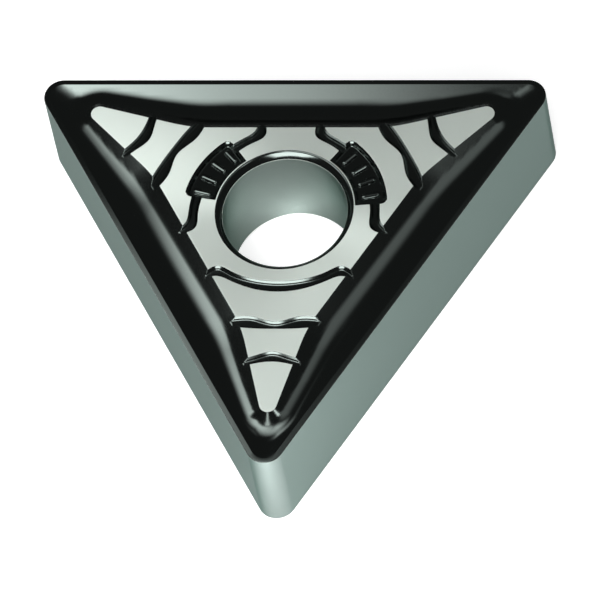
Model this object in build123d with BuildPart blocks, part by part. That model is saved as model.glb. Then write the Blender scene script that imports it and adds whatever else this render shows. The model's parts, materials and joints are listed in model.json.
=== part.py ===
from build123d import *
import os
from math import asin, atan2, cos, hypot, radians, sin, tan

# A double-sided triangular cutting insert, pressed and sintered in one piece.
# Sizes are in millimetres and degrees. The origin lies on the bore axis at
# mid-thickness, with +Z up. One cutting edge runs along X on the +Y side, and
# the corner between the other two points to -Y. Both faces are alike.

# Overall form
inscribed_radius = 6.35
thickness = 4.76
nose_radius = 0.8
edge_hone = 0.03

# Clamping bore and the rounding of its mouth
bore_radius = 2.58
bore_rim = 0.28

# Chip groove behind the edge: a flat land, a rake face that falls away from it,
# a hollow floor, and a wall that rises to the plateau
edge_drop = 0.114
land_width = 0.22
groove_width = 2.17
rake_angle = 22
wall_angle = 28
groove_radius = 0.9
valley_radius = 0.45
foot_depth = 0.04

# Plateau that the insert seats on, with a branch that tapers into each corner
branch_root_along = 4.15
branch_root_radius = 6.0
branch_tip_gap = 2.08
branch_tip_radius = 0.35

# Wavy channels across each corner of the plateau. Each pair is a distance to one
# side of the corner's own line, and how far the point lies beyond the middle of
# the channel's inner edge. The last number of an edge is that of its open end.
channel_depth = 0.14
channel_shoulder_run = 0.15
channel_far_run = 0.06
channel_end_margin = 0.05
ring_channel_gap = 0.56
ring_channel_inner = ((0, 0), (1.0, -0.11), (2.0, -0.49), (2.6, -0.73))
ring_channel_inner_end = -0.45
ring_channel_outer = ((0, 0.5), (1.0, 0.37), (2.0, -0.03), (2.6, -0.24))
ring_channel_outer_end = -0.14
wave_channel_before_root = 0.24
wave_channel_inner = ((0, 0), (0.9, -0.23))
wave_channel_inner_end = -0.19
wave_channel_outer = ((0, 0.35), (0.9, 0.33))
wave_channel_outer_end = 0.25
bow_channel_past_root = 1.17
bow_channel_inner = ((0, 0), (0.6, 0.16))
bow_channel_inner_end = 0.39
bow_channel_outer = ((0, 0.49), (0.6, 0.56))
bow_channel_outer_end = 0.73

# Sunken pads beside the bore, with raised grip bars, given by their angles about
# the bore axis
pad_depth = 0.2
pad_reach = 4.24
pad_lip = 0.05
pad_corner_radius = 0.3
left_pad = (126.5, 171)
right_pad = (4, 54)
bar_pitch = 11
bar_length = 0.8
bar_width = 0.26
bar_height = 0.12

# Levels and sizes that follow from those above
corner_count = 3
corner_turn = 360 / corner_count
half_turn = radians(corner_turn / 2)
plateau_z = thickness / 2
edge_z = plateau_z - edge_drop
land_radius = inscribed_radius - land_width
land_nose_radius = nose_radius - land_width
plateau_side = land_radius - groove_width
bore_mouth_radius = bore_radius + bore_rim

# The rake face and the plateau's wall meet below the groove's hollow floor. The
# pocket that is cut first, and the plateau's foot, go a little deeper than that.
rake_slope = tan(radians(rake_angle))
wall_slope = tan(radians(wall_angle))
meeting_run = (groove_width * wall_slope - edge_drop) / (rake_slope + wall_slope)
pocket_depth = meeting_run * rake_slope + foot_depth
pocket_run = pocket_depth / rake_slope
foot_drop = edge_drop + pocket_depth
foot_run = foot_drop / wall_slope

# Where a branch leaves the plateau's sides, and where its own sides would meet
root_half_width = plateau_side * sin(half_turn) - branch_root_along * cos(half_turn)
root_reach = plateau_side * cos(half_turn) + branch_root_along * sin(half_turn)
land_corner_reach = (land_radius - land_nose_radius) / cos(half_turn) + land_nose_radius
branch_tip_reach = land_corner_reach - branch_tip_gap
tip_centre_reach = branch_tip_reach - branch_tip_radius
tip_run = tip_centre_reach - root_reach
branch_angle = atan2(root_half_width, tip_run) - asin(branch_tip_radius / hypot(root_half_width, tip_run))
apex_reach = root_reach + root_half_width / tan(branch_angle)
channel_overrun = channel_depth / wall_slope + channel_end_margin


def rounded_triangle(side_distance, corner_radius):
    """A rounded triangle about the bore axis, added to the sketch that is open."""
    shape = RegularPolygon(side_distance, corner_count, major_radius=False, rotation=corner_turn / 4)
    fillet(shape.vertices(), corner_radius)


def plateau_outline(level, grow):
    """The plateau's outline at a level, with its sides moved outwards by a distance."""
    points = []
    for corner in range(corner_count):
        for across, reach in ((-root_half_width, root_reach), (0, apex_reach), (root_half_width, root_reach)):
            points.append(Vector(across, -reach).rotate(Axis.Z, corner * corner_turn))
    with BuildSketch(Plane.XY.offset(level)) as outline:
        with BuildLine():
            Polyline(*points, close=True)
        make_face()
        if grow > 0:
            offset(amount=grow, kind=Kind.INTERSECTION)
        fillet(outline.vertices().filter_by(lambda v: hypot(v.X, v.Y) < tip_centre_reach),
               branch_root_radius - grow)
        fillet(outline.vertices().group_by(lambda v: hypot(v.X, v.Y))[-1], branch_tip_radius + grow)
    return outline.sketch


def plateau_half_width(reach):
    """How far the plateau extends to each side of a corner's own line, at a reach."""
    if reach < root_reach:
        return (plateau_side - reach * cos(half_turn)) / sin(half_turn)
    return root_half_width - (reach - root_reach) * tan(branch_angle)


def channel_edge(points, end, start_reach, inset):
    """One edge of a channel at the corner at -Y, as a spline from side to side."""
    end_reach = start_reach + end
    end_across = plateau_half_width(end_reach) + channel_overrun
    run = [(across, -start_reach - beyond - inset) for across, beyond in points]
    run.append((end_across, -end_reach - inset))
    return Spline(*[(-across, along) for across, along in reversed(run)], *run[1:])


def channel(start_reach, inner, inner_end, outer, outer_end):
    """The solid that one channel takes away, with a gentler wall on the side of the bore."""
    with BuildPart() as cutter:
        for level, near_run, far_run in ((plateau_z, 0, 0),
                                         (plateau_z - channel_depth, channel_shoulder_run, channel_far_run)):
            with BuildSketch(Plane.XY.offset(level)):
                with BuildLine():
                    near_edge = channel_edge(inner, inner_end, start_reach, near_run)
                    far_edge = channel_edge(outer, outer_end, start_reach, -far_run)
                    Line(near_edge @ 0, far_edge @ 0)
                    Line(near_edge @ 1, far_edge @ 1)
                make_face()
        loft(ruled=True)
    return cutter.part


def pad(start, end):
    """The solid that one pad takes away, between two angles, with its grip bars left standing."""
    inner_reach = bore_mouth_radius + pad_lip
    bar_count = int((end - start) / bar_pitch)
    first_bar = (start + end) / 2 - (bar_count - 1) / 2 * bar_pitch
    with BuildPart() as pocket:
        with BuildSketch(Plane.XY.offset(plateau_z)):
            with BuildLine():
                outer_arc = CenterArc((0, 0), pad_reach, start, end - start)
                inner_arc = CenterArc((0, 0), inner_reach, start, end - start)
                Line(outer_arc @ 0, inner_arc @ 0)
                Line(outer_arc @ 1, inner_arc @ 1)
            outer_corners = make_face().vertices().group_by(lambda v: hypot(v.X, v.Y))[-1]
            fillet(outer_corners, pad_corner_radius)
        extrude(amount=-pad_depth)
        with BuildSketch(Plane.XY.offset(plateau_z - pad_depth)):
            with PolarLocations((inner_reach + pad_reach) / 2, bar_count, first_bar, bar_pitch * bar_count):
                Rectangle(bar_length, bar_width)
        extrude(amount=bar_height, mode=Mode.SUBTRACT)
    return pocket.part


# The raised middle of the upper face, with its half of the bore, channels and pads
with BuildPart() as plateau:
    loft([plateau_outline(plateau_z, 0), plateau_outline(plateau_z - foot_drop, foot_run)], ruled=True)
    with BuildSketch(Plane.XZ):
        with BuildLine():
            mouth = Bezier((bore_radius, plateau_z - bore_rim), (bore_radius, plateau_z),
                           (bore_mouth_radius, plateau_z))
            Polyline(mouth @ 1, (0, plateau_z), (0, 0), (bore_radius, 0), mouth @ 0)
        make_face()
    revolve(axis=Axis.Z, mode=Mode.SUBTRACT)
    with PolarLocations(0, corner_count):
        add(channel(bore_mouth_radius + ring_channel_gap, ring_channel_inner, ring_channel_inner_end,
                    ring_channel_outer, ring_channel_outer_end), mode=Mode.SUBTRACT)
        add(channel(root_reach - wave_channel_before_root, wave_channel_inner, wave_channel_inner_end,
                    wave_channel_outer, wave_channel_outer_end), mode=Mode.SUBTRACT)
        add(channel(root_reach + bow_channel_past_root, bow_channel_inner, bow_channel_inner_end,
                    bow_channel_outer, bow_channel_outer_end), mode=Mode.SUBTRACT)
    add(pad(*left_pad), mode=Mode.SUBTRACT)
    add(pad(*right_pad), mode=Mode.SUBTRACT)

with BuildPart() as insert_body:
    # Prism with honed edges and the bore through it
    with BuildSketch():
        rounded_triangle(inscribed_radius, nose_radius)
    extrude(amount=edge_z, both=True)
    chamfer(insert_body.faces().filter_by(Axis.Z).edges(), edge_hone)
    with BuildSketch():
        Circle(bore_radius)
    extrude(amount=edge_z, both=True, mode=Mode.SUBTRACT)

    # A pocket in each face, whose sides are the rake faces inside the land
    with BuildSketch(Plane.XY.offset(edge_z)) as land_line:
        rounded_triangle(land_radius, land_nose_radius)
    with BuildSketch(Plane.XY.offset(edge_z - pocket_depth)) as pocket_floor:
        rounded_triangle(land_radius - pocket_run, valley_radius)
    pocket = loft([land_line.sketch, pocket_floor.sketch], ruled=True, mode=Mode.SUBTRACT)
    mirror(pocket, about=Plane.XY, mode=Mode.SUBTRACT)

    # A plateau in each pocket, and the hollow floor where its walls meet the rake faces
    add([plateau.part, plateau.part.mirror(Plane.XY)])
    fillet(insert_body.edges(Select.NEW), groove_radius)

insert_body.part.label = "insert_body"
os.makedirs("parts", exist_ok=True)
export_step(insert_body.part, "parts/insert_body.step")
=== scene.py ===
import json
from math import asin, atan2, cos, hypot, pi, radians, sin, sqrt, tan

import bpy
import numpy as np
from mathutils import Matrix, Vector
from mathutils.geometry import delaunay_2d_cdt


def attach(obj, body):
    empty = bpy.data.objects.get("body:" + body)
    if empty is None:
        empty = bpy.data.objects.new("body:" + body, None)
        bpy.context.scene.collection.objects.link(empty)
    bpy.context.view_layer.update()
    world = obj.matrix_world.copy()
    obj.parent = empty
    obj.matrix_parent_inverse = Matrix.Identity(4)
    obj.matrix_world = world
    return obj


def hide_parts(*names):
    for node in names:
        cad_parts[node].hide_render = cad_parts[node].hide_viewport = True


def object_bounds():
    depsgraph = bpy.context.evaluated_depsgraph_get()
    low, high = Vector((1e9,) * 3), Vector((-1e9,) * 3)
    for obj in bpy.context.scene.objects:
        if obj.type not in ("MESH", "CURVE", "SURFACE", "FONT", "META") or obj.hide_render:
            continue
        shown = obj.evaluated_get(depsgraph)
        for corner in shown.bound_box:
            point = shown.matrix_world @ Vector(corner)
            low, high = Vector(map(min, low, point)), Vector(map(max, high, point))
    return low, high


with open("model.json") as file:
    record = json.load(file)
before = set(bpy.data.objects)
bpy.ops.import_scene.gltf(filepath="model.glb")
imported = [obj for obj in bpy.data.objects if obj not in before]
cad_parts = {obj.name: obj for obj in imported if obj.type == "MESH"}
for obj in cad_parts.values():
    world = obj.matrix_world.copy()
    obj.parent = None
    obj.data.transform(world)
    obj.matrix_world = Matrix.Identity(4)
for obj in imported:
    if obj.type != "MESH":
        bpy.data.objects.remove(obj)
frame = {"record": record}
cad_low, cad_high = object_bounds()

# The insert is one pressed and sintered piece, so it is one mesh. Its shape is
# worked out in millimetres and degrees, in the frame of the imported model, and
# scaled once when the mesh is made. Each face is a height over the middle of the
# thickness, and the lower face mirrors the upper one.
MM = 0.001
mounts = {mount["name"]: mount for mount in frame["record"]["mounts"]}

# Overall form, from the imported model. The tip of a corner lies two inscribed
# radii less one nose radius from the bore axis.
inscribed_radius = cad_high.y / MM
plateau_z = cad_high.z / MM
nose_radius = 2 * inscribed_radius + cad_low.y / MM
bore_radius = mounts["bore"]["dims"]["r_mm"]
edge_hone = 0.03

# Mouth of the bore: the tilts of its surface from the face to the wall, and the
# relative lengths of the steps between them
bore_rim = 0.28
mouth_tilts = (0, 18, 34, 40, 43, 47, 50, 56, 72, 90)
mouth_steps = (1, 1, 1, 2, 2, 2, 1, 1, 1)

# Chip groove: a land, a rake face, a hollow floor and the plateau's wall. Between
# two reaches along a corner's line the hollow narrows by a share a millimetre. The
# radius of a corner shrinks by a share of the run inside the land.
edge_drop = 0.114
land_width = 0.22
land_tilt = 4
groove_width = 2.17
rake_angle = 22
wall_angle = 28
hollow_run = 0.56
hollow_narrowing = 0.09
hollow_narrow_reach = (5, 8)
corner_narrowing = 0.114

# Plateau with a branch that tapers into each corner
branch_root_along = 4.15
branch_root_radius = 6.0
branch_tip_gap = 2.08
branch_tip_radius = 0.35

# Channels across each corner. Both sides go down over a gentle lip, which takes a
# share of the depth, and then a steep wall. Each pair of an edge is a distance to
# one side of the corner's line, and how far the point lies beyond the start.
channel_depth = 0.14
channel_shoulder = 0.09
channel_shoulder_share = 0.6
channel_near_wall = 0.04
channel_far_lip = 0.08
channel_far_share = 0.25
channel_far_wall = 0.03
ring_channel_gap = 0.56
ring_channel_inner = ((0, 0), (1.0, -0.11), (2.0, -0.49), (2.6, -0.73), (3.05, -0.45))
ring_channel_outer = ((0, 0.5), (1.0, 0.37), (2.0, -0.03), (2.6, -0.24), (2.95, -0.14))
wave_channel_before_root = 0.24
wave_channel_inner = ((0, 0), (0.9, -0.23), (1.9, -0.19))
wave_channel_outer = ((0, 0.35), (0.9, 0.33), (1.75, 0.25))
bow_channel_past_root = 1.17
bow_channel_inner = ((0, 0), (0.6, 0.16), (1.3, 0.39))
bow_channel_outer = ((0, 0.49), (0.6, 0.56), (1.2, 0.73))

# Sunken pads beside the bore, by their angles about its axis, with raised bars
pad_angles = ((126.5, 171), (4, 54))
pad_depth = 0.2
pad_reach = 4.24
pad_lip = 0.05
pad_corner_radius = 0.3
pad_lip_run = 0.09
pad_lip_share = 0.4
pad_wall = 0.06
bar_pitch = 11
bar_length = 0.8
bar_width = 0.26
bar_height = 0.12
bar_crown = 0.06
bar_wall = 0.015

# Rounding of the crisp edges, and how far to each side a slope is read
crisp = 0.02
slope_probe = 0.003

# How finely the surfaces are divided, and where the mesh follows their edges
side_steps = 45
corner_steps = 16
hone_rings = 4
root_steps = 8
tip_steps = 14
bore_steps = 180
wall_levels = (1.4, 0.7, 0)
round_steps = 8
line_step = 0.09
channel_step = line_step * 0.7
bar_step = line_step * 0.6
plateau_grows = (-crisp, 0, crisp, 0.1, 0.22)
bar_insets = (-0.02, -0.005, 0, bar_wall, 0.02, 0.035, 0.05, 0.075, 0.1)
least_pad_radius = 0.02
least_bar_radius = 0.012
fill_step = 0.17
fill_inside_land = 0.06
fill_outside_bore = 0.03
fill_outside_bar = 0.04
same_point = 1e-5

# Finishes of the insert, in the order of its material slots. The ground finish also paints a highlight, a
# thin bright line round the bore.
COATED, GROUND_AND_PAINTED_LINE, FLANK, BORE = range(4)
ring_anisotropy = 0.9
brush_turn = 0.04

# Studio
floor_radius = 3000
floor_steps = 96
floor_glow = 0.65
dark_room = 0.045

# The photograph's camera, fitted to the insert's outline there
camera_place = (55.36, -214.4, 349.69)
camera_right = (0.9911, 0.0705, -0.1126)
camera_up = (-0.0021, 0.8555, 0.5178)
camera_lens = 605.2
camera_sensor = 36
nearest_seen = 10

# What follows from those sizes
corner_count = 3
sector = 2 * pi / corner_count
half_turn = sector / 2
edge_z = plateau_z - edge_drop
land_radius = inscribed_radius - land_width
land_nose_radius = nose_radius - land_width
land_nose_centre = 2 * (land_radius - land_nose_radius)
plateau_side = land_radius - groove_width
bore_mouth_radius = bore_radius + bore_rim
rake_slope = tan(radians(rake_angle))
land_slope = tan(radians(land_tilt))
wall_slope = tan(radians(wall_angle))
root_half_width = plateau_side * sin(half_turn) - branch_root_along * cos(half_turn)
root_reach = plateau_side * cos(half_turn) + branch_root_along * sin(half_turn)
tip_centre_reach = land_nose_centre + land_nose_radius - branch_tip_gap - branch_tip_radius
tip_run = tip_centre_reach - root_reach
branch_angle = atan2(root_half_width, tip_run) - asin(branch_tip_radius / hypot(root_half_width, tip_run))
root_bend = pi / 2 - branch_angle - half_turn
root_middle = (half_turn + pi / 2 - branch_angle) / 2
root_centre_gap = branch_root_radius / cos(root_bend / 2)
pad_inner_reach = bore_mouth_radius + pad_lip
bar_reach = (pad_inner_reach + pad_reach) / 2
mirrored = np.array((1, 1, -1))


def to_corner(points):
    """Points turned about the bore into the corner at -Y: distance to its own line, and reach along it."""
    angle = np.arctan2(points[:, 1], points[:, 0]) + pi / 2
    angle = (angle + half_turn) % sector - half_turn
    radius = np.hypot(points[:, 0], points[:, 1])
    return np.abs(radius * np.sin(angle)), radius * np.cos(angle)


def soft_positive(value, width):
    """The value where it is positive and 0 where it is not, rounded over a width to each side of 0."""
    part = np.clip((value + width) / (2 * width), 0, 1)
    return width * part * part + np.maximum(value - width, 0)


def land_run(across, reach):
    """How far inside the land's inner line a point lies, with a corner that narrows as it goes down."""
    side_run = land_radius - reach * cos(half_turn) - across * sin(half_turn)
    # Each run has its own arc round the corner, so the run of a point solves a quadratic
    shift = 2 * (1 - corner_narrowing)
    gap = reach - land_nose_centre
    a = shift ** 2 - corner_narrowing ** 2
    b = 2 * gap * shift + 2 * land_nose_radius * corner_narrowing
    c = across ** 2 + gap ** 2 - land_nose_radius ** 2
    corner_run = (-b + np.sqrt(np.maximum(b * b - 4 * a * c, 0))) / (2 * a)
    in_corner = across < tan(half_turn) * (gap + shift * corner_run)
    return np.where(in_corner, corner_run, side_run)


def plateau_distance(across, reach):
    """How far outside the plateau's outline a point lies."""
    side = across * sin(half_turn) + reach * cos(half_turn) - plateau_side
    root_x, root_y = across - root_half_width, reach - root_reach
    branch = root_x * cos(branch_angle) + root_y * sin(branch_angle)
    distance = np.minimum(side, branch)
    # The hollow corner where the branch leaves the plateau's side
    tangent = branch_root_radius * tan(root_bend / 2)
    along_side = root_x * cos(half_turn) - root_y * sin(half_turn)
    along_branch = root_y * cos(branch_angle) - root_x * sin(branch_angle)
    centre_x, centre_y = root_centre_gap * sin(root_middle), root_centre_gap * cos(root_middle)
    to_centre = np.hypot(root_x - centre_x, root_y - centre_y)
    in_bend = (along_side < tangent) & (along_branch < tangent)
    distance = np.where(in_bend, branch_root_radius - to_centre, distance)
    # The round tip
    beyond = (reach - tip_centre_reach) * cos(branch_angle) - across * sin(branch_angle)
    tip = np.hypot(across, reach - tip_centre_reach) - branch_tip_radius
    return np.where(beyond > 0, tip, distance)


class SmoothLine:
    """A smooth curve through points of (across, reach), mirrored about the corner's own line."""

    def __init__(self, start_reach, points):
        right = np.array([(across, start_reach + beyond) for across, beyond in points], float)
        self.x, self.y = np.concatenate([right[:0:-1] * (-1, 1), right]).T
        gap = np.diff(self.x)
        rise = np.diff(self.y) / gap
        system = np.eye(len(self.x))
        load = np.zeros(len(self.x))
        for i in range(1, len(self.x) - 1):
            system[i, i - 1:i + 2] = gap[i - 1], 2 * (gap[i - 1] + gap[i]), gap[i]
            load[i] = 6 * (rise[i] - rise[i - 1])
        self.bend = np.linalg.solve(system, load)

    def __call__(self, across):
        """The reach and the slope of the curve."""
        x, y, bend = self.x, self.y, self.bend
        inside = np.clip(across, x[0], x[-1])
        i = np.clip(np.searchsorted(x, inside) - 1, 0, len(x) - 2)
        gap = x[i + 1] - x[i]
        low, high = (x[i + 1] - inside) / gap, (inside - x[i]) / gap
        reach = low * y[i] + high * y[i + 1]
        reach += ((low ** 3 - low) * bend[i] + (high ** 3 - high) * bend[i + 1]) * gap ** 2 / 6
        slope = (y[i + 1] - y[i]) / gap
        slope += ((3 * high ** 2 - 1) * bend[i + 1] - (3 * low ** 2 - 1) * bend[i]) * gap / 6
        return reach + slope * (across - inside), slope


channels = [
    (SmoothLine(start, inner), SmoothLine(start, outer))
    for start, inner, outer in (
        (bore_mouth_radius + ring_channel_gap, ring_channel_inner, ring_channel_outer),
        (root_reach - wave_channel_before_root, wave_channel_inner, wave_channel_outer),
        (root_reach + bow_channel_past_root, bow_channel_inner, bow_channel_outer),
    )
]


def stepped(inside, lip, lip_share, wall):
    """A share of a depth, from 0 outside to 1 inside: a sloping lip and then a steep wall."""
    gentle = lip_share / lip
    steep = (1 - lip_share) / wall
    first = gentle * soft_positive(inside, crisp)
    second = (steep - gentle) * soft_positive(inside - lip, crisp)
    return first + second - steep * soft_positive(inside - lip - wall, crisp)


def channel_insides(across, reach):
    """How far inside each channel's near and far edge a point lies."""
    for near_edge, far_edge in channels:
        near, near_slope = near_edge(across)
        far, far_slope = far_edge(across)
        yield (reach - near) / np.sqrt(1 + near_slope ** 2), (far - reach) / np.sqrt(1 + far_slope ** 2)


def channel_share(across, reach):
    """How much of the channels' depth is cut away at a point, from 0 to 1."""
    share = np.zeros_like(reach)
    for inside_near, inside_far in channel_insides(across, reach):
        near_cut = stepped(inside_near, channel_shoulder, channel_shoulder_share, channel_near_wall)
        far_cut = stepped(inside_far, channel_far_lip, channel_far_share, channel_far_wall)
        share = np.maximum(share, np.minimum(near_cut, far_cut))
    return share


def pad_inside(points, start, end):
    """How far inside a pad's outline a point lies."""
    radius = np.hypot(points[:, 0], points[:, 1])
    angle = np.degrees(np.arctan2(points[:, 1], points[:, 0]))
    from_start = radius * np.sin(np.radians(angle - start))
    from_end = radius * np.sin(np.radians(end - angle))
    ends = np.where(np.abs(angle - (start + end) / 2) < 90, np.minimum(from_start, from_end), -1)
    outer = pad_reach - radius
    round_ends = np.maximum(pad_corner_radius - ends, 0)
    round_outer = np.maximum(pad_corner_radius - outer, 0)
    corner = pad_corner_radius - np.hypot(round_ends, round_outer)
    inside = np.where(np.minimum(ends, outer) < pad_corner_radius, corner, np.minimum(ends, outer))
    return np.minimum(inside, radius - pad_inner_reach)


def bar_places(start, end):
    """Middle angles of the raised bars on a pad."""
    count = int((end - start) / bar_pitch)
    return [(start + end) / 2 + (i - (count - 1) / 2) * bar_pitch for i in range(count)]


bar_angles = [angle for start, end in pad_angles for angle in bar_places(start, end)]


def bar_inside(points, angle):
    """How far inside a bar's outline a point lies."""
    turn = radians(angle)
    along = np.abs(points[:, 0] * cos(turn) + points[:, 1] * sin(turn) - bar_reach)
    beside = points[:, 1] * cos(turn) - points[:, 0] * sin(turn)
    radius = bar_width / 2
    return radius - np.hypot(np.maximum(along - (bar_length / 2 - radius), 0), beside)


def height(points):
    """Height of the upper face over the middle of the thickness."""
    across, reach = to_corner(points)
    run = land_run(across, reach)
    rake = edge_z - rake_slope * soft_positive(run, crisp) - land_slope * soft_positive(-run, crisp)
    island = plateau_z - wall_slope * soft_positive(plateau_distance(across, reach), crisp)
    island = np.minimum(island, plateau_z - channel_depth * channel_share(across, reach))
    for start, end in pad_angles:
        inside = pad_inside(points, start, end)
        floor = plateau_z - pad_depth * stepped(inside, pad_lip_run, pad_lip_share, pad_wall)
        island = np.where(inside > 0, np.minimum(island, floor), island)
    for angle in bar_angles:
        rise = np.maximum(bar_inside(points, angle), 0)
        aside = 1 - 2 * rise / bar_width
        island = island + (bar_height - bar_crown) * np.minimum(rise / bar_wall, 1)
        island = island + bar_crown * (1 - aside ** 2)
    start, end = hollow_narrow_reach
    hollow = hollow_run * (1 - hollow_narrowing * (np.clip(reach, start, end) - start))
    return rake + soft_positive(island - rake, hollow * (rake_slope + wall_slope))


def divided(points, step):
    """A polyline through the points, with no segment longer than a step."""
    run = [np.array(points[0])[None]]
    for a, b in zip(points[:-1], points[1:]):
        count = max(1, int(np.ceil(np.hypot(*np.subtract(b, a)) / step)))
        share = np.arange(1, count + 1)[:, None] / count
        run.append(np.array(a) * (1 - share) + np.array(b) * share)
    return np.concatenate(run)


def on_circle(radius, angles):
    """Points at some angles on a circle about the bore axis."""
    return np.stack([radius * np.cos(angles), radius * np.sin(angles)], -1)


def circle(radius, count, start=0.0, end=2 * pi):
    """Evenly spaced points on a circle about the bore axis, without the end itself."""
    return on_circle(radius, np.linspace(start, end, count, endpoint=False))


def turned(points, angle):
    """Points turned about the bore axis."""
    return points @ np.array([[cos(angle), sin(angle)], [-sin(angle), cos(angle)]])


def arc(centre, radius, start, end, count):
    """Points on an arc in corner coordinates. The angle is 0 along the corner's line."""
    angles = np.linspace(start, end, count + 1)
    return np.stack([centre[0] + radius * np.sin(angles), centre[1] + radius * np.cos(angles)], 1)


def all_corners(half):
    """A closed line from half of one corner, which runs from the middle of a side to the corner's line."""
    corner = np.concatenate([half, (half * (-1, 1))[-2:0:-1]]) * (1, -1)
    turns = [np.array(Matrix.Rotation(-sector * k, 2)) for k in range(corner_count)]
    return np.concatenate([corner @ turn.T for turn in turns])


def triangle_line(side_distance, corner_radius):
    """A rounded triangle, always with the same number of points."""
    corner = arc((0, 2 * (side_distance - corner_radius)), corner_radius, half_turn, 0, corner_steps)
    middle = np.array([sin(half_turn), cos(half_turn)]) * side_distance
    share = np.linspace(0, 1, side_steps, endpoint=False)[:, None]
    return all_corners(np.concatenate([middle * (1 - share) + corner[0] * share, corner]))


def plateau_line(grow):
    """The plateau's outline, moved outwards by a distance."""
    centre = (root_half_width + root_centre_gap * sin(root_middle),
              root_reach + root_centre_gap * cos(root_middle))
    root = arc(centre, branch_root_radius - grow, half_turn + pi, 3 * pi / 2 - branch_angle, root_steps)
    tip = arc((0, tip_centre_reach), branch_tip_radius + grow, pi / 2 - branch_angle, 0, tip_steps)
    middle = np.array([sin(half_turn), cos(half_turn)]) * (plateau_side + grow)
    side = divided([middle, root[0]], line_step)[:-1]
    branch = divided([root[-1], tip[0]], line_step)[1:-1]
    return all_corners(np.concatenate([side, root, branch, tip]))


def stepped_runs(lip, wall):
    """Where the mesh follows a lip and its wall."""
    edges = (0, lip, lip + wall)
    return [edge + shift for edge in edges for shift in (-crisp, 0, crisp)]


def channel_lines():
    """Open lines along the channels' edges, for every corner."""
    lines = []
    near_runs = stepped_runs(channel_shoulder, channel_near_wall)
    far_runs = [-run for run in stepped_runs(channel_far_lip, channel_far_wall)]
    for near_edge, far_edge in channels:
        for edge, runs in ((near_edge, near_runs), (far_edge, far_runs)):
            across = divided([(-edge.x[-1], 0), (edge.x[-1], 0)], channel_step)[:, 0]
            reach, slope = edge(across)
            for run in runs:
                moved = run / np.sqrt(1 + slope ** 2)
                line = np.stack([across - moved * slope, -(reach + moved)], 1)
                lines += [turned(line, -sector * k) for k in range(corner_count)]
    return lines


def pad_line(start, end, inset):
    """A pad's outline, moved inwards."""
    inner = pad_inner_reach + inset
    outer = pad_reach - inset
    radius = max(pad_corner_radius - inset, least_pad_radius)
    centre_reach = outer - radius
    ends = []
    for angle, side in ((radians(start), 1), (radians(end), -1)):
        foot = angle + side * asin(inset / inner)
        middle = angle + side * asin((radius + inset) / centre_reach)
        bends = np.linspace(angle - side * pi / 2, middle, round_steps)
        ends.append((foot, middle, on_circle(centre_reach, middle) + on_circle(radius, bends)))
    (low_foot, low_middle, low_corner), (high_foot, high_middle, high_corner) = ends
    outer_count = max(2, int((high_middle - low_middle) * outer / line_step))
    inner_count = max(2, int((high_foot - low_foot) * inner / line_step))
    outer_arc = circle(outer, outer_count, low_middle, high_middle)[1:]
    inner_arc = circle(inner, inner_count, high_foot, low_foot)
    up = divided([on_circle(inner, low_foot), low_corner[0]], line_step)[:-1]
    down = divided([high_corner[0], on_circle(inner, high_foot)], line_step)[1:-1]
    return np.concatenate([up, low_corner, outer_arc, high_corner[::-1], down, inner_arc])


def bar_line(angle, inset):
    """A bar's outline, moved inwards."""
    radius = max(bar_width / 2 - inset, least_bar_radius)
    half = bar_length / 2 - bar_width / 2
    outer_end = circle(radius, round_steps, -pi / 2, pi / 2) + (half, 0)
    inner_end = circle(radius, round_steps, pi / 2, 3 * pi / 2) - (half, 0)
    loop = divided([*outer_end, *inner_end, outer_end[0]], bar_step)[:-1]
    return turned(loop + (bar_reach, 0), radians(angle))


def fill_points():
    """An even triangular grid over the upper face, clear of its outer lines and of the bars."""
    count = int(4 * inscribed_radius / fill_step)
    rows, columns = np.mgrid[-count:count, -count:count]
    x = (columns + 0.5 * (rows % 2)) * fill_step
    y = rows * fill_step * sqrt(3) / 2
    points = np.stack([x.ravel(), y.ravel()], 1)
    inside = land_run(*to_corner(points)) > fill_inside_land
    inside &= np.hypot(*points.T) > bore_mouth_radius + fill_outside_bore
    for angle in bar_angles:
        inside &= bar_inside(points, angle) < -fill_outside_bar
    return points[inside]


def face_loops():
    """Closed lines that the mesh of the upper face follows. The first two are its outer and bore edges."""
    loops = [triangle_line(inscribed_radius - edge_hone, nose_radius - edge_hone),
             circle(bore_mouth_radius, bore_steps)]
    loops += [triangle_line(land_radius + shift, land_nose_radius + shift) for shift in (crisp, 0, -crisp)]
    loops += [plateau_line(grow) for grow in plateau_grows]
    for start, end in pad_angles:
        loops += [pad_line(start, end, inset) for inset in stepped_runs(pad_lip_run, pad_wall)]
        loops += [bar_line(angle, inset) for angle in bar_places(start, end) for inset in bar_insets]
    return loops


def upper_face():
    """Points and triangles of the upper face, and the indices of its outer and bore edges."""
    loops = face_loops()
    points, edges, first = [], [], 0
    for loop in loops:
        count = len(loop)
        edges += [(first + i, first + (i + 1) % count) for i in range(count)]
        points.append(loop)
        first += count
    for line in channel_lines():
        edges += [(first + i, first + i + 1) for i in range(len(line) - 1)]
        points.append(line)
        first += len(line)
    points.append(fill_points())
    flat = [Vector(point) for point in np.concatenate(points)]
    flat, _, triangles, origins, _, _ = delaunay_2d_cdt(flat, edges, [], 0, same_point)
    place = {source: index for index, sources in enumerate(origins) for source in sources}
    outer = [place[i] for i in range(len(loops[0]))]
    bore = [place[len(loops[0]) + i] for i in range(bore_steps)]
    flat = np.array([tuple(point) for point in flat])
    triangles = np.array(triangles)
    # The bore is filled too, so what lies in it goes
    from_axis = np.hypot(*flat[triangles].mean(1).T)
    return flat, triangles[from_axis > bore_mouth_radius * cos(pi / bore_steps)], outer, bore


def upper_normals(points):
    """Unit normals of the upper face, from its slope."""
    step = slope_probe
    slope_x = (height(points + (step, 0)) - height(points - (step, 0))) / (2 * step)
    slope_y = (height(points + (0, step)) - height(points - (0, step))) / (2 * step)
    normals = np.stack([-slope_x, -slope_y, np.ones(len(points))], 1)
    return normals / np.linalg.norm(normals, axis=1)[:, None]


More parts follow.
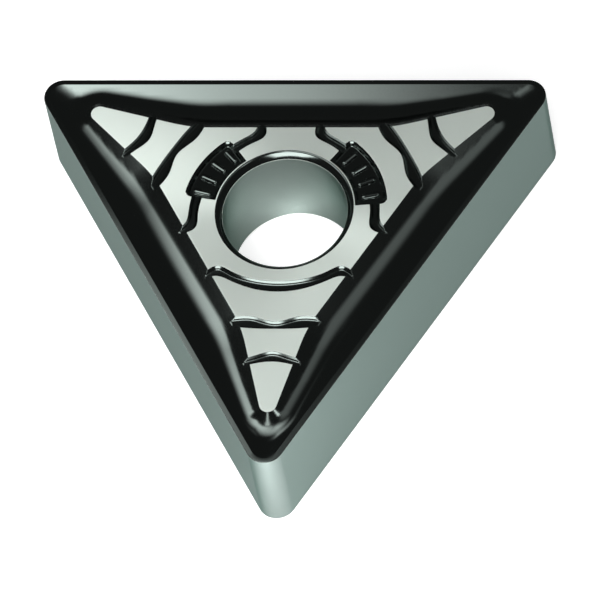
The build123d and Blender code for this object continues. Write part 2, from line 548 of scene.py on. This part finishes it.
def face_finish(points):
    """The finish of places on the upper face: the plateau is ground, and what lies lower keeps its coat."""
    across, reach = to_corner(points)
    ground = plateau_distance(across, reach) < 0
    for inside_near, inside_far in channel_insides(across, reach):
        ground &= np.minimum(inside_near, inside_far) < 0
    for start, end in pad_angles:
        ground &= pad_inside(points, start, end) < 0
    return np.where(ground, GROUND_AND_PAINTED_LINE, COATED)


def edge_rings():
    """Rings of points and normals over the honed edge and down to the middle of the flank."""
    base = triangle_line(inscribed_radius - edge_hone, nose_radius - edge_hone)
    outward = (triangle_line(inscribed_radius, nose_radius) - base) / edge_hone
    edge_height = height(base)
    rings = []
    for angle in np.linspace(radians(land_tilt), pi / 2, hone_rings + 1)[1:]:
        ring = np.column_stack([base + outward * edge_hone * sin(angle),
                                edge_height - edge_hone * (1 - cos(angle))])
        rings.append((ring, np.column_stack([outward * sin(angle), np.full(len(ring), cos(angle))])))
    lowest, sideways = rings[-1]
    return rings + [(lowest * (1, 1, 0), sideways)]


def bore_ring(radius, level, tilt):
    """A ring of points in the bore, and normals that tilt inwards."""
    ray = circle(1, bore_steps)
    ring = np.column_stack([ray * radius, np.full(bore_steps, level)])
    return ring, np.column_stack([-ray * sin(tilt), np.full(bore_steps, cos(tilt))])


def bore_rings():
    """Rings of points and normals over the bevelled mouth of the bore and down to mid-thickness."""
    tilts = np.radians(mouth_tilts)
    between = (tilts[1:] + tilts[:-1]) / 2
    inward = np.cumsum(mouth_steps * np.cos(between))
    down = np.cumsum(mouth_steps * np.sin(between))
    rings = [
        bore_ring(bore_mouth_radius - bore_rim * move, plateau_z - bore_rim * drop, tilt)
        for tilt, move, drop in zip(tilts[1:], inward / inward[-1], down / down[-1])
    ]
    return rings + [bore_ring(bore_radius, level, pi / 2) for level in wall_levels]


def on_both_sides(rings):
    """Rings from the upper face to mid-thickness, and from there their mirror images to the lower face."""
    return rings + [(points * mirrored, normals * mirrored) for points, normals in rings[-2::-1]]


class Skin:
    """Points with their normals, and faces with their finish, as they are put together."""

    def __init__(self):
        self.points, self.normals, self.faces, self.finish = [], [], [], []

    def add(self, points, normals):
        """Adds points and gives their indices."""
        first = len(self.points)
        self.points += points.tolist()
        self.normals += normals.tolist()
        return list(range(first, len(self.points)))

    def join(self, first, rings, last, finishes):
        """Joins two closed loops of indices, through rings of new points, with a finish for each band."""
        loops = [first] + [self.add(*ring) for ring in rings] + [last]
        for upper, lower, finish in zip(loops[:-1], loops[1:], finishes):
            for i in range(len(upper)):
                j = (i + 1) % len(upper)
                self.faces.append((upper[i], upper[j], lower[j], lower[i]))
                self.finish.append(finish)


def placed(name, data):
    """A new object in the scene."""
    made = bpy.data.objects.new(name, data)
    bpy.context.scene.collection.objects.link(made)
    return made


def build_insert():
    """The insert as one mesh: both faces, the honed edges with the flanks, and the bore."""
    flat, triangles, outer, bore = upper_face()
    top = np.column_stack([flat, height(flat)])
    normals = upper_normals(flat)
    finish = face_finish(flat[triangles].mean(1)).tolist()
    skin = Skin()
    skin.add(top, normals)
    skin.add(top * mirrored, normals * mirrored)
    skin.faces += triangles.tolist() + (triangles[:, ::-1] + len(flat)).tolist()
    skin.finish += finish + finish
    lower_outer = [i + len(flat) for i in outer]
    lower_bore = [i + len(flat) for i in bore]
    hone = [COATED] * hone_rings
    skin.join(outer, on_both_sides(edge_rings()), lower_outer, hone + [FLANK] * 2 + hone)
    # The last step of the mouth, at each end of the wall, is a painted highlight: it takes the pale ground
    # finish, which draws a thin bright line round the wall
    mouth = [COATED] * (len(mouth_steps) - 1)
    wall = [GROUND_AND_PAINTED_LINE] + [BORE] * (2 * len(wall_levels)) + [GROUND_AND_PAINTED_LINE]
    skin.join(bore, on_both_sides(bore_rings()), lower_bore, mouth + wall + mouth)
    mesh = bpy.data.meshes.new("insert")
    mesh.from_pydata((np.array(skin.points) * MM).tolist(), [], skin.faces)
    mesh.polygons.foreach_set("material_index", np.array(skin.finish, np.int32))
    mesh.polygons.foreach_set("use_smooth", np.ones(len(skin.faces), bool))
    mesh.normals_split_custom_set_from_vertices(skin.normals)
    mesh.update()
    return placed("insert", mesh)


def metal(name, color, roughness, grain_scale, grain_depth, stretch=(1, 1, 1), metallic=1.0,
          grazing=(1, 1, 1)):
    """A metal finish with a fine grain, and the tint that it takes at grazing angles."""
    made = bpy.data.materials.new(name)
    made.use_nodes = True
    nodes, links = made.node_tree.nodes, made.node_tree.links
    shader = nodes["Principled BSDF"]
    shader.inputs["Metallic"].default_value = metallic
    shader.inputs["Specular Tint"].default_value = (*grazing, 1)
    shader.inputs["Roughness"].default_value = roughness
    shader.inputs["Base Color"].default_value = (*color, 1)
    coordinate = nodes.new("ShaderNodeTexCoord")
    stretched = nodes.new("ShaderNodeVectorMath")
    stretched.operation = "MULTIPLY"
    stretched.inputs[1].default_value = stretch
    grain = nodes.new("ShaderNodeTexNoise")
    grain.inputs["Scale"].default_value = grain_scale
    grain.inputs["Detail"].default_value = 3
    bump = nodes.new("ShaderNodeBump")
    bump.inputs["Strength"].default_value = 1
    bump.inputs["Distance"].default_value = grain_depth * MM
    links.new(coordinate.outputs["Object"], stretched.inputs[0])
    links.new(stretched.outputs[0], grain.inputs["Vector"])
    links.new(grain.outputs["Fac"], bump.inputs["Height"])
    links.new(bump.outputs[0], shader.inputs["Normal"])
    return made


def ground_in_rings(made):
    """The same finish, with the gloss of rings ground about the bore axis."""
    nodes, links = made.node_tree.nodes, made.node_tree.links
    shader = nodes["Principled BSDF"]
    shader.inputs["Anisotropic"].default_value = ring_anisotropy
    shader.inputs["Anisotropic Rotation"].default_value = brush_turn
    coordinate = nodes.new("ShaderNodeTexCoord")
    around = nodes.new("ShaderNodeVectorMath")
    around.operation = "CROSS_PRODUCT"
    around.inputs[0].default_value = (0, 0, 1)
    unit = nodes.new("ShaderNodeVectorMath")
    unit.operation = "NORMALIZE"
    links.new(coordinate.outputs["Object"], around.inputs[1])
    links.new(around.outputs[0], unit.inputs[0])
    links.new(unit.outputs[0], shader.inputs["Tangent"])
    return made


def seen_by(tree, *kinds):
    """An output that is 1 for the named kinds of ray and 0 for all others."""
    light_path = tree.nodes.new("ShaderNodeLightPath")
    seen = light_path.outputs[kinds[0]]
    for kind in kinds[1:]:
        either = tree.nodes.new("ShaderNodeMath")
        either.operation = "MAXIMUM"
        tree.links.new(seen, either.inputs[0])
        tree.links.new(light_path.outputs[kind], either.inputs[1])
        seen = either.outputs[0]
    return seen


def floor_material():
    """Matt white that takes shadow, with a glow for the camera and for what mirrors the floor."""
    made = bpy.data.materials.new("pale_floor")
    made.use_nodes = True
    nodes, links = made.node_tree.nodes, made.node_tree.links
    shader = nodes["Principled BSDF"]
    shader.inputs["Base Color"].default_value = (0.8, 0.8, 0.8, 1)
    shader.inputs["Roughness"].default_value = 0.9
    shader.inputs["Specular IOR Level"].default_value = 0
    shader.inputs["Emission Color"].default_value = (1, 1, 1, 1)
    glow = nodes.new("ShaderNodeMath")
    glow.operation = "MULTIPLY"
    glow.inputs[1].default_value = floor_glow
    seen = seen_by(made.node_tree, "Is Camera Ray", "Is Glossy Ray", "Is Transmission Ray")
    links.new(seen, glow.inputs[0])
    links.new(glow.outputs[0], shader.inputs["Emission Strength"])
    return made


def build_floor():
    """A round floor that the insert lies on."""
    rim = circle(floor_radius, floor_steps) * MM
    mesh = bpy.data.meshes.new("floor")
    mesh.from_pydata([(x, y, cad_low.z) for x, y in rim.tolist()], [], [tuple(range(floor_steps))])
    mesh.materials.append(floor_material())
    placed("floor", mesh)


def panel_material(name, strength, softness):
    """Light that fades towards the edges of a panel."""
    made = bpy.data.materials.new(name)
    made.use_nodes = True
    nodes, links = made.node_tree.nodes, made.node_tree.links
    nodes.remove(nodes["Principled BSDF"])
    coordinate = nodes.new("ShaderNodeTexCoord")
    place = nodes.new("ShaderNodeSeparateXYZ")
    links.new(coordinate.outputs["Generated"], place.inputs[0])
    full = nodes.new("ShaderNodeValue")
    full.outputs[0].default_value = strength
    glow = full.outputs[0]
    for axis, (low_fade, high_fade) in zip("XY", softness):
        for edge, full_from in ((0, low_fade / 2), (1, 1 - high_fade / 2)):
            ramp = nodes.new("ShaderNodeMapRange")
            ramp.interpolation_type = "SMOOTHSTEP"
            ramp.inputs["From Min"].default_value = edge
            ramp.inputs["From Max"].default_value = full_from
            links.new(place.outputs[axis], ramp.inputs["Value"])
            faded = nodes.new("ShaderNodeMath")
            faded.operation = "MULTIPLY"
            links.new(glow, faded.inputs[0])
            links.new(ramp.outputs["Result"], faded.inputs[1])
            glow = faded.outputs[0]
    emission = nodes.new("ShaderNodeEmission")
    links.new(glow, emission.inputs["Strength"])
    # Light from farther panels passes through, so that they add up where they overlap
    clear = nodes.new("ShaderNodeBsdfTransparent")
    both = nodes.new("ShaderNodeAddShader")
    links.new(emission.outputs[0], both.inputs[0])
    links.new(clear.outputs[0], both.inputs[1])
    links.new(both.outputs[0], nodes["Material Output"].inputs["Surface"])
    return made


def glow_panel(name, centre, half_size, strength, softness):
    """A soft light panel above the insert, that the lens does not see.

    Softness is the share of each half that fades, at the low and high end of X and of Y.
    """
    x, y, z = centre
    wide, long = half_size
    corners = [(x + i * wide, y + j * long, z) for i, j in ((-1, -1), (-1, 1), (1, 1), (1, -1))]
    mesh = bpy.data.meshes.new(name)
    mesh.from_pydata((np.array(corners) * MM).tolist(), [], [(0, 1, 2, 3)])
    mesh.materials.append(panel_material(name, strength, softness))
    panel = placed(name, mesh)
    panel.visible_camera = False
    panel.visible_shadow = False


def key_lamp(name, direction, strength, angle):
    """A distant lamp for what is matt, which leaves no spot on the gloss."""
    lamp = bpy.data.lights.new(name, "SUN")
    lamp.energy = strength
    lamp.angle = radians(angle)
    made = placed(name, lamp)
    made.rotation_mode = "QUATERNION"
    made.rotation_quaternion = Vector(direction).to_track_quat("Z", "Y")
    made.visible_glossy = False


def low_lamp(name, place, power, radius):
    """A small lamp below the upper face, for the floor that a flank or the bore's wall mirrors."""
    lamp = bpy.data.lights.new(name, "POINT")
    lamp.energy = power
    lamp.shadow_soft_size = radius * MM
    made = placed(name, lamp)
    made.location = Vector(place) * MM
    made.visible_glossy = False


def build_world():
    """A room that looks white but is dark in the gloss, as the black coat in the photograph shows."""
    world = bpy.data.worlds.new("studio")
    bpy.context.scene.world = world
    world.use_nodes = True
    tree = world.node_tree
    background = tree.nodes["Background"]
    background.inputs["Color"].default_value = (1, 1, 1, 1)
    shade = tree.nodes.new("ShaderNodeMapRange")
    shade.inputs["To Min"].default_value = dark_room
    tree.links.new(seen_by(tree, "Is Camera Ray", "Is Transmission Ray"), shade.inputs["Value"])
    tree.links.new(shade.outputs["Result"], background.inputs["Strength"])


def build_camera():
    """The photograph's camera."""
    right = Vector(camera_right).normalized()
    up = Vector(camera_up)
    up = (up - right * up.dot(right)).normalized()
    data = bpy.data.cameras.new("camera")
    data.sensor_width = camera_sensor
    data.lens = camera_lens
    data.clip_start = nearest_seen * MM
    camera = placed("camera", data)
    turn = Matrix((right, up, right.cross(up))).transposed().to_4x4()
    camera.matrix_world = Matrix.Translation(Vector(camera_place) * MM) @ turn
    bpy.context.scene.camera = camera


insert = build_insert()
for made in (
    metal("black_coat", (0.13, 0.152, 0.143), 0.12, 9000, 0.0004),
    # The pale ground finish also paints a highlight: the thin bright line at each end of the bore's wall
    ground_in_rings(metal("ground_plateau", (0.76, 0.84, 0.78), 0.45, 6000, 0.0004, metallic=0.5)),
    metal("satin_flank", (0.23, 0.27, 0.257), 0.3, 5000, 0.0008, (1, 1, 0.2), grazing=(0.24, 0.29, 0.275)),
    metal("bore_wall", (0.21, 0.25, 0.233), 0.35, 20000, 0.01, grazing=(0.2, 0.228, 0.217)),
):
    insert.data.materials.append(made)
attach(insert, "root")
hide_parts("insert_body")

build_floor()
glow_panel("overhead_panel", (-11.5, 3, 50), (16.5, 19), 2.9, ((0.5, 0.97), (0.37, 1.58)))
glow_panel("left_panel", (-14.75, 3.5, 20), (10.75, 8.5), 2.8, ((0.47, 0.93), (0.41, 1.53)))
glow_panel("right_panel", (18.5, 8, 50), (21.5, 22), 0.46, ((1.13, 0.42), (0.6, 0.82)))
glow_panel("front_panel", (-26, -108, 80), (66, 44), 6, ((0.35, 0.35), (0.3, 0.2)))
glow_panel("low_panel", (-6, -25, 50), (6, 17), 2.6, ((0.8, 0.8), (0.4, 0.6)))
glow_panel("spot_panel", (28, -14, 50), (9, 8), 5, ((0.8, 0.8), (0.8, 0.8)))
key_lamp("front_key", (0.1, -0.7, 0.8), 1.4, 50)
low_lamp("side_lamp", (8.5, -13, 0), 0.002, 4)
low_lamp("nose_lamp", (-0.5, -18.5, 0), 0.0055, 4)
low_lamp("bore_lamp", (-0.25, 2, -1.8), 0.00006, 0.4)
build_world()
build_camera()
bpy.context.scene.view_settings.view_transform = "Standard"
